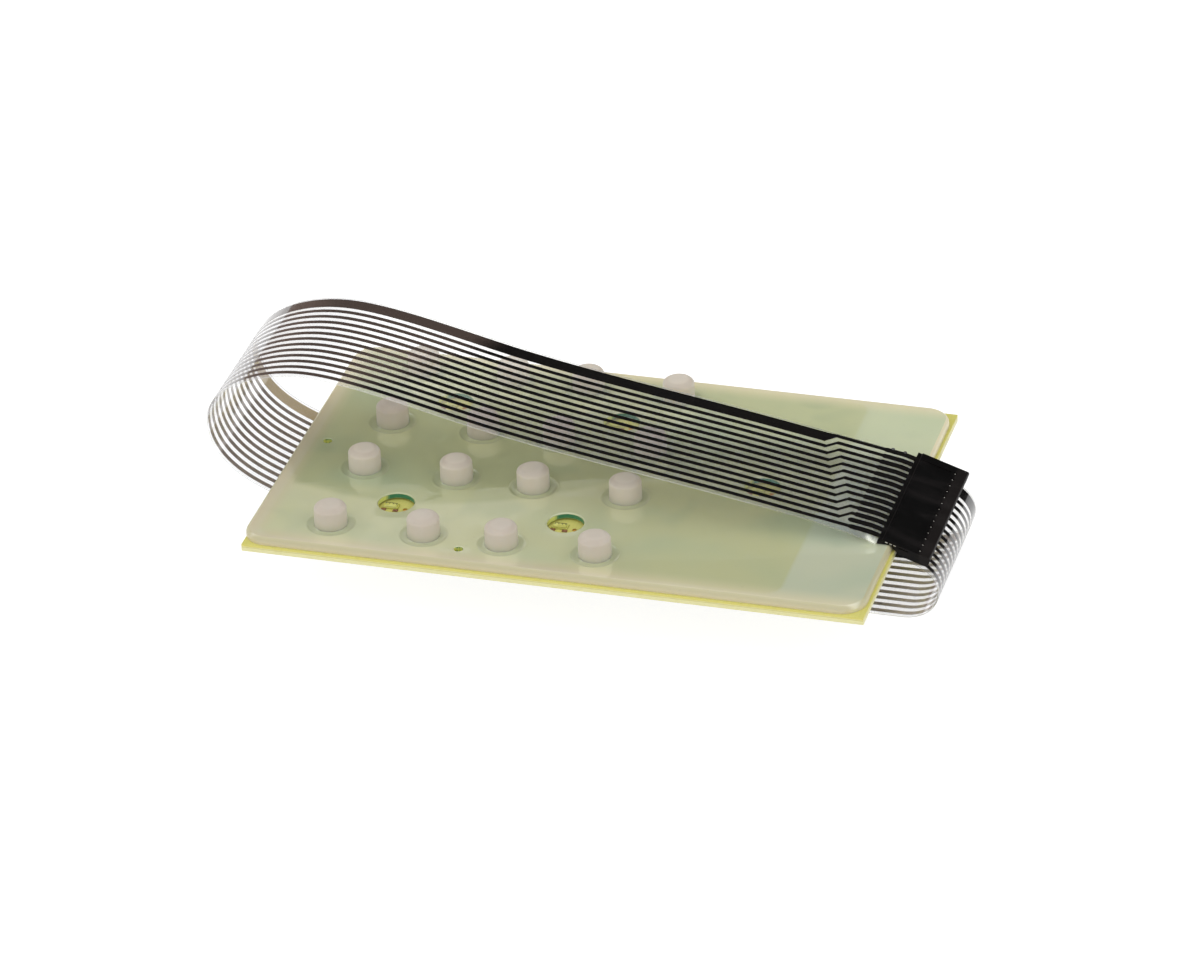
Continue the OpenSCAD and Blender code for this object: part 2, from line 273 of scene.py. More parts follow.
def ring(x, y, r, steps=64):
    """Points of a circle."""
    a = np.arange(steps) * 2 * np.pi / steps
    return np.stack([x + r * np.cos(a), y + r * np.sin(a)], -1)


# Material helpers

class Tree:
    """A new material's nodes."""

    def __init__(self, name):
        self.material = bpy.data.materials.new(name)
        self.material.use_nodes = True
        self.nodes = self.material.node_tree.nodes
        self.links = self.material.node_tree.links
        self.nodes.clear()
        self.out = self.nodes.new("ShaderNodeOutputMaterial")

    def node(self, kind, inputs=None, **settings):
        """A node with its settings, and with values or other nodes' sockets at its inputs."""
        made = self.nodes.new(kind)
        for key, value in settings.items():
            setattr(made, key, value)
        for key, value in (inputs or {}).items():
            socket = made.inputs[key]
            if isinstance(value, bpy.types.NodeSocket):
                self.links.new(value, socket)
            elif np.size(socket.default_value) == 4:
                socket.default_value = (*value[:3], 1)
            else:
                socket.default_value = value
        return made

    def place(self):
        return self.node("ShaderNodeTexCoord").outputs["Object"]

    def coordinates(self):
        """X, Y and Z in millimetres from the board's front left top corner."""
        shift = (BOARD[0] / 2, BOARD[1] / 2, -BOARD_TOP)
        moved = self.node("ShaderNodeVectorMath", {0: self.place(), 1: (1000, 1000, 1000), 2: shift},
                          operation="MULTIPLY_ADD")
        return self.split(moved.outputs[0])

    def split(self, vector):
        """The three parts of a vector."""
        return tuple(self.node("ShaderNodeSeparateXYZ", {0: vector}).outputs)

    def facing(self):
        """The three parts of the face's own outward direction."""
        return self.split(self.node("ShaderNodeNewGeometry").outputs["True Normal"])

    def stretched(self, scale, turn=(0, 0, 0), vector=None):
        return self.node("ShaderNodeMapping", {"Vector": vector or self.place(), "Scale": scale,
                                               "Rotation": turn}).outputs[0]

    def noise(self, scale, detail=3, rough=0.5, vector=None, distortion=0.0):
        inputs = {"Vector": vector or self.place(), "Scale": scale, "Detail": detail, "Roughness": rough,
                  "Distortion": distortion}
        return self.node("ShaderNodeTexNoise", inputs).outputs["Fac"]

    def band(self, value, low, high, to_low=0.0, to_high=1.0):
        """Steps smoothly from one number to another as value goes from low to high."""
        inputs = {"Value": value, "From Min": low, "From Max": high, "To Min": to_low, "To Max": to_high}
        return self.node("ShaderNodeMapRange", inputs, interpolation_type="SMOOTHSTEP").outputs[0]

    def math(self, operation, a, b=0.0):
        return self.node("ShaderNodeMath", {0: a, 1: b}, operation=operation).outputs[0]

    def times(self, *values):
        """The product of the values."""
        product = values[0]
        for value in values[1:]:
            product = self.math("MULTIPLY", product, value)
        return product

    def highest(self, *values):
        """The highest of the values."""
        top = values[0]
        for value in values[1:]:
            top = self.math("MAXIMUM", top, value)
        return top

    def mix(self, factor, a, b):
        return self.node("ShaderNodeMix", {0: factor, 6: a, 7: b}, data_type="RGBA").outputs[2]

    def tint(self, base, colour, *shares):
        """The base turned towards a colour by the product of the shares."""
        return self.mix(self.times(*shares), base, colour)

    def mark(self, name):
        return self.node("ShaderNodeAttribute", attribute_name=name).outputs["Fac"]

    def bump(self, height, strength, distance, normal=None):
        inputs = {"Height": height, "Strength": strength, "Distance": distance}
        if normal:
            inputs["Normal"] = normal
        return self.node("ShaderNodeBump", inputs).outputs[0]

    def principled(self, **inputs):
        named = {key.replace("_", " "): value for key, value in inputs.items()}
        return self.finish(self.node("ShaderNodeBsdfPrincipled", named))

    def finish(self, shader):
        """Joins the last shader to the output and hands over the material."""
        self.links.new(shader.outputs[0], self.out.inputs[0])
        return self.material


def rubber_material(s):
    """Milky silicone over a green board: the colour drifts in soft blotches, is duller where the
    mat is hollow and greener in the thin webs, turns rosy towards the rim, and the skin is glossy
    with a slow wave. At the front left a soft curved border parts a paler zone in front, a painted
    reflection of the tail in the mat, from a darker one behind, painted shade of the tail: the
    border lies about Y = 21.5 + 0.0085 (X - 25)^2. Painted light makes the mat paler towards the
    back and the rim paler to the right and behind; the rim's shoulder is painted darker against its
    highlight and its wall paler towards its foot against the shade at the board."""
    t = Tree("mat_rubber")
    x, y, z = t.coordinates()
    top = s.thickness * 1000
    middle_x, middle_y = BOARD[0] / 2, BOARD[1] / 2
    base = t.mix(t.mark("hollow"), s.rubber[:], s.rubber_hollow[:])
    warm = t.band(t.noise(24, 1, 0.4), 0.35, 0.75)
    base = t.tint(base, tone(198, 192, 152), warm, t.band(x, 58.75, 98.75, 0.6, 0.2))
    teal = t.band(t.noise(40, 1, 0.4, t.stretched((1, 1.4, 1), (0, 0, 0.5))), 0.5, 0.85)
    base = t.tint(base, tone(150, 180, 158), teal, 0.4)
    # Painted light: the mat is painted paler towards the back, more so on the right
    painted_back_light = t.band(y, 38.75, 79.75)
    base = t.tint(base, tone(226, 233, 190), painted_back_light, t.band(x, 116.75, 120.75, 0.35, 0.6))
    # Painted reflection and shade of the tail: paler in front of a curved border, where the tail mirrors in
    # the mat, and darker behind it, in the tail's shade
    bow = t.times(t.math("POWER", t.math("ABSOLUTE", t.math("SUBTRACT", x, 25)), 2.0), 0.0085)
    past = t.band(t.math("SUBTRACT", y, bow), 20.15, 22.95)
    darker = t.times(past, t.band(x, middle_x, 98.75, 1.0, 0.3), t.band(y, 41.75, 55.75, 1.0, 0.0))
    base = t.tint(base, tone(146, 160, 124), darker, 0.15)
    paler = t.times(t.math("SUBTRACT", 1.0, past), t.band(x, 48.75, 88.75, 1.0, 0.0))
    base = t.tint(base, tone(220, 220, 186), paler, 0.4)
    smudge = t.band(t.noise(85, 1, 0.4, distortion=0.4), 0.52, 0.78)
    base = t.tint(base, tone(146, 168, 140), smudge, 0.22)

    # Distances from the nearer long edge and the nearer short edge of the board
    across = t.math("SUBTRACT", middle_y, t.math("ABSOLUTE", t.math("SUBTRACT", y, middle_y)))
    along = t.math("SUBTRACT", middle_x, t.math("ABSOLUTE", t.math("SUBTRACT", x, middle_x)))
    behind = t.band(y, middle_y, 73.75)
    # The rim's own rosy tone, painted paler to the right and behind as painted light
    rosy = t.mix(t.band(x, middle_x, 98.75), s.rubber_rim[:], tone(230, 219, 183))
    rosy = t.mix(behind, rosy, tone(252, 238, 200))
    rim = t.highest(t.band(across, 0.55, 6.75, 1.0, 0.0), t.band(x, 0.45, 5.75, 1.0, 0.0))
    base = t.tint(base, rosy, rim, 0.75)
    # The rounded rim and the wall under it have hardly any gloss. Their tone holds painted shade and
    # painted light: darker at the front of the shoulder against its highlight, paler behind, and
    # paler down the wall towards its foot against the shade at the board
    shoulder = t.times(t.band(t.math("MINIMUM", across, along), 1.25, 2.25, 1.0, 0.0),
                       t.band(z, top - 0.03, top - 0.01, 1.0, 0.0))
    brow = t.mix(behind, tone(187, 181, 145), tone(230, 218, 186))
    wall = t.mix(t.band(z, 0.0, 1.5), tone(220, 208, 174), brow)
    base = t.tint(base, wall, shoulder, 0.85)

    base = t.tint(base, s.rubber_web[:], t.mark("web"), 0.4)
    speck = t.band(t.noise(900, 2, 0.6), 0.66, 0.74)
    base = t.tint(base, tone(160, 150, 115), speck, 0.08)
    wave = t.bump(t.noise(60, 2, 0.4), 0.25, 0.0006)
    skin = t.bump(t.noise(1800, 2, 0.6), 0.05, 0.00003, wave)
    rough = t.band(t.noise(60, 3, 0.6), 0.35, 0.7, 0.3, 0.38)
    return t.principled(Base_Color=base, Roughness=rough, IOR=1.4, Normal=skin,
                        Subsurface_Weight=0.25, Subsurface_Radius=(1.0, 0.95, 0.6), Subsurface_Scale=0.0012,
                        Coat_Weight=t.band(shoulder, 0.0, 1.0, 1.0, 0.08), Coat_Roughness=0.03,
                        Coat_IOR=2.0, Coat_Normal=wave)


def window_wall_material():
    """Cut wall of a window in the mat: deep green, lit yellow by the board at its foot and on its
    left; the wall of a small hole is lit nearly up to its brink."""
    t = Tree("mat_window_wall")
    z, turn = t.coordinates()[2], t.facing()[0]
    small = t.times(t.mark("web"), t.band(z, 1.42, 1.52, 1.0, 0.0))
    lit = t.highest(t.band(z, 0.3, 0.55, 1.0, 0.0), t.band(turn, 0.6, 0.85), small)
    cloud = t.band(t.noise(500, 3, 0.5), 0.4, 0.7)
    base = t.tint(tone(58, 130, 98), tone(76, 142, 116), cloud, 0.3)
    base = t.tint(base, tone(226, 230, 130), lit)
    return t.principled(Base_Color=base, Roughness=0.3, Normal=t.bump(cloud, 0.1, 0.00004),
                        Subsurface_Weight=0.1, Subsurface_Radius=(0.6, 1.0, 0.6), Subsurface_Scale=0.0006)


def key_material(s):
    """Milky silicone post with a fine matt grain. Light and shade are painted into its colour: it is
    painted paler down its side, and greener and darker towards its foot as painted light from the
    mat and painted shade; the second row and the last are painted a little paler against the
    tail's shade, and the rounded brink is painted a little darker against its highlight."""
    t = Tree("key_silicone")
    _, y, z = t.coordinates()
    # Painted light: paler down the side
    base = t.tint(s.key[:], tone(205, 197, 182), t.band(z, 3.0, 6.9, 1.0, 0.0))
    # Painted light: the second row and the last are paler, against the shade of the tail
    second = t.times(t.band(y, 21.75, 29.75), t.band(y, 41.75, 49.75, 1.0, 0.0))
    last = t.band(y, 69.75, 73.75)
    base = t.tint(base, tone(216, 208, 194), t.math("ADD", second, last), 0.7)
    # Painted shade: the rounded brink is darker, against its highlight
    brink = t.times(t.band(z, 5.6, 6.3), t.band(z, 6.55, 6.82, 1.0, 0.0))
    base = t.tint(base, tone(182, 172, 160), brink, 0.5)
    # Painted light and shade: greener and darker towards the foot, as light from the mat and shade
    base = t.tint(base, tone(188, 188, 154), t.band(z, 1.4, 3.8, 1.0, 0.0), 0.5)
    cloud = t.band(t.noise(220, 3, 0.55), 0.42, 0.66)
    base = t.tint(base, tone(206, 198, 186), cloud, 0.25)
    rough = t.band(t.noise(420, 2, 0.5), 0.4, 0.65, 0.46, 0.58)
    return t.principled(Base_Color=base, Roughness=rough, IOR=1.4,
                        Normal=t.bump(t.noise(2600, 3, 0.6), 0.08, 0.00005),
                        Subsurface_Weight=0.7, Subsurface_Radius=(1.0, 0.85, 0.7), Subsurface_Scale=0.0028)


def laminate_material(s):
    """Glass and resin board: a fine square weave shows faintly in the faces, and the sawn sides
    have a yellow upper band, a dull seam and a paler lower band."""
    t = Tree("board_laminate")
    z = t.coordinates()[2]
    warp, weft = (t.node("ShaderNodeTexWave", {"Vector": t.place(), "Scale": 420.0, "Distortion": 0.6},
                         bands_direction=way).outputs["Fac"] for way in "XY")
    cloth = t.times(warp, weft)
    face = t.tint(s.laminate[:], tone(186, 184, 96), cloth, 0.25)
    edge = t.mix(t.band(z, -0.6, -0.3), tone(236, 231, 176), tone(222, 213, 118))
    seam = t.times(t.band(z, -0.8, -0.65), t.band(z, -0.65, -0.5, 1.0, 0.0))
    edge = t.tint(edge, tone(196, 186, 96), seam, 0.7)
    streak = t.band(t.noise(700, 3, 0.6, t.stretched((1, 1, 4))), 0.45, 0.7)
    edge = t.tint(edge, tone(204, 194, 104), streak, 0.25)
    sawn = t.band(t.math("ABSOLUTE", t.facing()[2]), 0.4, 0.6, 1.0, 0.0)
    rough = t.band(t.noise(300, 3), 0.4, 0.7, 0.34, 0.5)
    return t.principled(Base_Color=t.mix(sawn, face, edge), Roughness=rough,
                        Normal=t.bump(cloth, 0.12, 0.00003),
                        Subsurface_Weight=0.15, Subsurface_Radius=(1.0, 1.0, 0.5), Subsurface_Scale=0.001)


def film_material():
    """Clear film with a slight milkiness: see-through, scattering a little light both ways, with a
    gloss that grows as the surface is seen edge on. Over the stretch that comes down from the crest
    over the keys the haze is painted whiter, a painted sheen, and the free corner in front of the
    connector is painted white, a painted glint."""
    t = Tree("tail_clear_film")
    x, y, _ = t.coordinates()
    milk = t.band(t.noise(240, 3, 0.55), 0.3, 0.7)
    veil = t.mix(milk, (0.018, 0.019, 0.028), (0.03, 0.031, 0.044))
    # Painted sheen: the haze is whiter over the stretch from the crest down over the keys
    slant = t.math("SUBTRACT", x, t.times(y, SLANT))
    veil = t.tint(veil, (0.075, 0.075, 0.082), t.band(slant, 12.5, 26.5, 1.0, 0.0), t.band(x, 8.75, 16.75))
    # Painted glint: the free corner of the film in front of the connector is white
    painted_glint = t.times(t.band(x, 130.75, 132.35), t.band(x, 133.85, 134.05, 1.0, 0.0),
                     t.band(y, 27.15, 27.95, 1.0, 0.0))
    veil = t.tint(veil, (0.32, 0.32, 0.31), painted_glint, milk)
    clear = t.node("ShaderNodeBsdfTransparent", {"Color": (0.955, 0.955, 0.95)})
    upper = t.node("ShaderNodeBsdfDiffuse", {"Color": veil})
    lower = t.node("ShaderNodeBsdfTranslucent", {"Color": veil})
    haze = t.node("ShaderNodeAddShader", {0: upper.outputs[0], 1: lower.outputs[0]})
    body = t.node("ShaderNodeAddShader", {0: clear.outputs[0], 1: haze.outputs[0]})
    shine = t.node("ShaderNodeBsdfGlossy", {"Color": (1, 1, 1), "Roughness": 0.06})
    edge_on = t.node("ShaderNodeLayerWeight", {"Blend": 0.5}).outputs["Facing"]
    gloss = t.math("ADD", t.times(t.math("POWER", edge_on, 4.0), 0.8), 0.04)
    return t.finish(t.node("ShaderNodeMixShader", {0: gloss, 1: body.outputs[0], 2: shine.outputs[0]}))


def film_edge_material():
    """Cut edge of the film: it gathers light and shows as a pale line, duller by the connector."""
    t = Tree("tail_film_edge")
    fleck = t.band(t.noise(900, 2, 0.5), 0.4, 0.7)
    base = t.mix(fleck, tone(246, 246, 240), tone(255, 255, 252))
    base = t.tint(base, tone(168, 166, 140), t.band(t.coordinates()[0], 98.75, 118.75))
    return t.principled(Base_Color=base, Roughness=0.35, Alpha=0.4,
                        Subsurface_Weight=0.4, Subsurface_Radius=(1.0, 1.0, 1.0), Subsurface_Scale=0.002)


def face_zones(t, x, y):
    """The printed side is painted browner where the tail rises to its crest, a painted sheen."""
    slant = t.math("SUBTRACT", x, t.times(y, SLANT))
    return [(t.band(slant, -3.5, 6.5, 1.0, 0.0), tone(78, 66, 60))]


def back_zones(t, x, y):
    """Seen through the film the print is painted paler beyond the board's right edge, as painted
    light coming through from below. On the left the broad track is paler and the thin ones are darker."""
    left = t.band(x, 4.75, 12.75, 1.0, 0.0)
    broad = t.band(y, 57.55, 58.55)
    # Painted light: beyond the board's right edge the back of the print is paler
    return [(t.times(t.band(x, 132.75, 139.75), 0.85), tone(222, 208, 188)),
            (t.times(left, 0.6), tone(128, 114, 98)),
            (t.times(left, broad), tone(206, 188, 152))]


def ink_material(name, colour, rough, shade, zones):
    """Printed ink: near even, with faint streaks along the print and other tones in its zones."""
    t = Tree(name)
    streak = t.band(t.noise(160, 4, 0.6, t.stretched((1, 6, 1))), 0.35, 0.75)
    base = t.tint(colour, shade, streak, 0.5)
    x, y, _ = t.coordinates()
    for share, other in zones(t, x, y):
        base = t.mix(share, base, other)
    return t.principled(Base_Color=base, Roughness=t.band(streak, 0.0, 1.0, rough, rough + 0.08),
                        Specular_IOR_Level=0.2, Normal=t.bump(t.noise(2400, 2), 0.05, 0.00002),
                        Coat_Weight=1.0, Coat_Roughness=0.05, Coat_IOR=1.7)


def plastic_material(s):
    """Black moulded nylon with streaks along the flow of the moulding, greyer in a band along the
    free edge."""
    t = Tree("connector_plastic")
    turned = t.stretched((1, 1, 1), (0, -TILT, 0))
    streak = t.noise(260, 4, 0.6, t.stretched((0.3, 1.0, 1.0), vector=turned), 0.6)
    base = t.tint(s.plastic[:], tone(26, 23, 23), t.band(streak, 0.45, 0.7), 0.8)
    base = t.tint(base, tone(38, 34, 33), t.band(t.coordinates()[0], 142.55, 143.35), 0.5)
    grain = t.bump(t.noise(1500, 3, 0.6), 0.12, 0.00004)
    return t.principled(Base_Color=base, Roughness=t.band(streak, 0.35, 0.7, 0.29, 0.42),
                        Normal=t.bump(streak, 0.3, 0.00008, grain), Specular_IOR_Level=0.1)


def metal_material(name, bright, dull):
    """Plated metal with a cloudy tarnish."""
    t = Tree(name)
    cloud = t.band(t.noise(500, 4, 0.6), 0.4, 0.7)
    return t.principled(Base_Color=t.mix(cloud, bright, dull), Metallic=1.0,
                        Roughness=t.band(cloud, 0.0, 1.0, 0.28, 0.43),
                        Normal=t.bump(t.noise(1800, 2), 0.1, 0.00003))


def carbon_material():
    """Matt carbon filled rubber with fine specks."""
    t = Tree("carbon_rubber")
    speck = t.band(t.noise(1600, 3, 0.6), 0.5, 0.7)
    return t.principled(Base_Color=t.mix(speck, tone(24, 24, 25), tone(44, 44, 45)), Roughness=0.85,
                        Normal=t.bump(speck, 0.15, 0.00003))


def dress(nodes, material):
    """Gives CAD nodes a material through their objects' own slots."""
    for name in nodes:
        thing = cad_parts[name]
        if not thing.material_slots:
            thing.data.materials.append(material)
        for held in thing.material_slots:
            held.link = "OBJECT"
            held.material = material


# Pieces

def flat_sheet(name, middle, across, up, material):
    """A rectangle of the stage, by its middle and the ways out to two sides, in metres."""
    middle, across, up = np.array(middle), np.array(across), np.array(up)
    corners = [middle + i * across + j * up for i, j in ((-1, -1), (1, -1), (1, 1), (-1, 1))]
    mesh = bpy.data.meshes.new(name)
    mesh.from_pydata([corner.tolist() for corner in corners], [], [(0, 1, 2, 3)])
    mesh.materials.append(material)
    thing = bpy.data.objects.new(name, mesh)
    bpy.context.scene.collection.objects.link(thing)
    return thing


class KEYPAD_OT_stage(Operator):
    """White table in a white room, a soft light above, a dark card to mirror, and the camera"""
    bl_idname = "keypad.stage"
    bl_label = "Stage"

    def execute(self, context):
        scene = context.scene
        scene.view_settings.view_transform = "Standard"
        # The table lies just under the part. It glows where it is seen, mirrored or seen through
        # something, and is matt otherwise
        t = Tree("table_white")
        path = t.node("ShaderNodeLightPath").outputs
        seen = t.highest(path["Is Camera Ray"], path["Is Glossy Ray"], path["Is Transmission Ray"])
        matt = t.node("ShaderNodeBsdfDiffuse", {"Color": (0.82, 0.82, 0.82)})
        dim = t.node("ShaderNodeBsdfDiffuse", {"Color": (0.3, 0.3, 0.3)})
        glow = t.node("ShaderNodeEmission", {"Color": (1, 1, 1), "Strength": 0.9})
        white = t.node("ShaderNodeAddShader", {0: dim.outputs[0], 1: glow.outputs[0]})
        t.finish(t.node("ShaderNodeMixShader", {0: seen, 1: matt.outputs[0], 2: white.outputs[0]}))
        table = flat_sheet("table", (0, 0, -0.0003), (6, 0, 0), (0, 6, 0), t.material)

        world = bpy.data.worlds.new("room")
        scene.world = world
        world.use_nodes = True
        nodes = world.node_tree.nodes
        nodes.clear()
        sky, out = nodes.new("ShaderNodeBackground"), nodes.new("ShaderNodeOutputWorld")
        sky.inputs["Color"].default_value = (1, 1, 1, 1)
        sky.inputs["Strength"].default_value = 1.0
        world.node_tree.links.new(sky.outputs[0], out.inputs[0])

        data = bpy.data.lights.new("light_over", "AREA")
        data.shape = "RECTANGLE"
        data.size = data.size_y = 1.6
        data.energy = 3
        lamp = bpy.data.objects.new("light_over", data)
        scene.collection.objects.link(lamp)
        place = Vector((-0.1, -0.05, 1.5))
        aim = Vector((0, 0, 0.01)) - place
        lamp.matrix_world = Matrix.Translation(place) @ aim.to_track_quat("-Z", "Y").to_matrix().to_4x4()

        # A dark card stands far behind, where the mat and the film mirror it, so that they show
        # their own colour; it is paler at the lower left
        t = Tree("card_dark")
        x, _, z = t.split(t.place())
        low_left = t.times(t.band(x, -1.7, -0.6, 1.0, 0.0), t.band(z, 0.9, 1.7, 1.0, 0.0))
        t.principled(Base_Color=t.mix(low_left, tone(44, 44, 44), tone(140, 120, 110)), Roughness=0.9)
        card = flat_sheet("card", (-0.1, 2.6, 1.6), (2.3, 0, 0), (0, 0, 1.3), t.material)

        # The camera stands to the right in front, looks down by el and leans by roll
        az, el, roll = math.radians(16.88), math.radians(30.52), math.radians(2.18)
        look = np.array([-math.sin(az) * math.cos(el), math.cos(az) * math.cos(el), -math.sin(el)])
        right = np.cross(look, (0, 0, 1))
        right /= np.linalg.norm(right)
        down = np.cross(look, right)
        across = math.cos(roll) * right + math.sin(roll) * down
        up = math.sin(roll) * right - math.cos(roll) * down
        pose = np.eye(4)
        pose[:3, 0], pose[:3, 1], pose[:3, 2] = across, up, -look
        pose[:3, 3] = (0.34975, -1.15585, 0.7274)
        data = bpy.data.cameras.new("camera")
        data.lens, data.sensor_width, data.sensor_fit = 193.1, 36, "HORIZONTAL"
        data.clip_start, data.clip_end = 0.05, 50
        camera = bpy.data.objects.new("camera", data)
        scene.collection.objects.link(camera)
        camera.matrix_world = Matrix(pose.tolist())
        scene.camera = camera
        return {"FINISHED"}


class KEYPAD_OT_board(Operator):
    """Circuit board, its contact pads and the pads that the tail is bonded to"""
    bl_idname = "keypad.board"
    bl_label = "Circuit board"

    def execute(self, context):
        dress(["circuit_board"], laminate_material(context.scene.keypad_mat))
        copper = metal_material("gilt_pad", tone(214, 170, 92), tone(168, 120, 62))
        dress(["switch_pads", "tail_pads"], copper)
        return {"FINISHED"}


class KEYPAD_OT_mat(Operator):
    """Rubber mat with a moat and a low lip round each key, round windows and two small holes"""
    bl_idname = "keypad.mat"
    bl_label = "Rubber mat"

    def execute(self, context):
        s = context.scene.keypad_mat
        top, edge, inset, corner = s.thickness * 1000, s.edge * 1000, s.inset * 1000, s.corner * 1000
        window, key_hole = s.window * 500, s.key_diameter * 500 + KEY_GAP
        x, y = (-s.over * 1000, BOARD[0] - inset), (inset, BOARD[1] - inset)
        keys = [(kx, ky) for kx in KEY_X for ky in KEY_Y]
        # Place, radius, rounding of the brink and steps of each window and small hole
        cuts = [(p, window, 0.3, 64) for p in WINDOWS] + [(p, SMALL_HOLE_R, 0.15, 32) for p in MAT_HOLES]
        # A point's marks are its shares of the web's tone and of the hollow mat's tone. On the cut
        # walls the first one tells the small holes apart
        hollow = np.array([[0.0, 1.0]])
        shape = Shape()

        # The rim is a quarter of an ellipse, deeper than it is wide, and then an upright wall
        a = np.linspace(np.pi / 2, 0, 11)
        deep, wide = 2.4 * edge, 1.8 * edge
        height = np.concatenate([top - deep + deep * np.sin(a), [0.3, 0.15, 0.0]])
        draw_in = np.concatenate([wide - wide * np.cos(a), [0, 0, 0]])
        rows = [at_height(rounded_outline(d, corner, x, y), h) for d, h in zip(draw_in, height)]
        shape.grid(np.stack(rows), flip=True)

        # The flat top, with a step of tone where the mat is hollow underneath
        shade_out, shade_in = (rounded_outline(d, 4.4, SHADE_X, SHADE_Y) for d in (0, 0.9))
        shape.sheet([rounded_outline(wide, corner, x, y), shade_out], top)
        shape.grid(np.stack([at_height(shade_out, top), at_height(shade_in, top)]),
                   mark=np.repeat([[0.0, 0.0], [0.0, 1.0]], len(shade_out), 0))
        holes = [ring(*p, WEB_R) for p in keys] + [ring(*p, r + b, steps) for p, r, b, steps in cuts]
        shape.sheet([shade_in] + holes, top, mark=hollow)

        # Round each key, as radius, height over the top and share of the web's tone: a low lip, a
        # moat, the wall of the key's hole and the hollow under the web
        web = -WEB_THICKNESS
        profile = [(WEB_R, 0, 0), (5.9, 0, 0), (5.75, 0.005, 0), (5.6, 0.02, 0.05), (5.45, 0.025, 0.15),
                   (5.25, 0.01, 0.4), (5.1, -0.03, 0.7), (4.98, -0.07, 0.9), (4.8, -0.11, 1),
                   (4.5, -0.14, 1), (4.1, -0.14, 1), (3.88, -0.11, 1), (3.74, -0.05, 1),
                   (key_hole, -0.02, 1), (key_hole, -0.25, 1), (key_hole, web, 1), (4.4, web, 1),
                   (WEB_UNDER_R, web, 1), (WEB_UNDER_R, HOLLOW_TOP - top, 1)]
        for p in keys:
            shape.lathe(*p, [(r, top + z) for r, z, _ in profile], mark=[(m, 1.0) for _, _, m in profile])
        # Windows and small holes: a rounded brink and an upright wall
        for p, r, b, steps in cuts:
            brink = [(r + b, top)] + [(r + b - b * math.sin(v), top - b + b * math.cos(v))
                                      for v in np.linspace(0.3, np.pi / 2, 5)]
            shape.lathe(*p, brink, steps, mark=[(0.0, 1.0)] * len(brink))
            shape.lathe(*p, [(r, top - b), (r, 1.0), (r, HOLLOW_TOP)], steps, slot=1,
                        mark=float(r == SMALL_HOLE_R))
        # The underside: a rim that sits on the board, and the hollow's ceiling
        under = rounded_outline(0, 4.0, HOLLOW_X, HOLLOW_Y)
        shape.sheet([rounded_outline(0, corner, x, y), under], 0.0, up=False)
        shape.grid(np.stack([at_height(under, 0.0), at_height(under, HOLLOW_TOP)]), flip=True)
        holes = [ring(*p, WEB_UNDER_R) for p in keys] + [ring(*p, r, steps) for p, r, _, steps in cuts]
        shape.sheet([under] + holes, HOLLOW_TOP, up=False, mark=hollow)
        piece("rubber_mat", shape, [rubber_material(s), window_wall_material()], stands_for=["key_mat"],
              marks=("web", "hollow"))
        return {"FINISHED"}


class KEYPAD_OT_keys(Operator):
    """Sixteen key posts, each on its own body, with a carbon pill under it"""
    bl_idname = "keypad.keys"
    bl_label = "Keys"

    def execute(self, context):
        s = context.scene.keypad_mat
        r, rounding = s.key_diameter * 500, s.key_rounding * 1000
        top = (s.thickness + s.key_height) * 1000
        rubber = key_material(s)
        # A post whose brink is rounded far in, up to a barely domed top
        side = [(0.0, KEY_FOOT), (r - 0.15, KEY_FOOT), (r, KEY_FOOT + 0.12), (r, 1.6), (r, 2.4),
                (r - 0.01, 3.8)]
        wide, deep = 1.8 * rounding, 1.1 * rounding
        brink = [(r - 0.03 - wide * (1 - math.cos(v)), top - 0.04 - deep * (1 - math.sin(v)))
                 for v in np.linspace(0, np.pi / 2, 9)]
        profile = side + brink + [(0.9, top - 0.01), (0.4, top), (0.0, top)]
        for row, ky in enumerate(KEY_Y, 1):
            for col, kx in enumerate(KEY_X, 1):
                shape = Shape()
                shape.lathe(kx, ky, profile, 56)
                piece(f"post_r{row}c{col}", shape, [rubber], body=f"key_r{row}c{col}",
                      stands_for=[f"key_r{row}c{col}"])
        dress([f"pill_r{row}c{col}" for row in range(1, 5) for col in range(1, 5)], carbon_material())
        return {"FINISHED"}


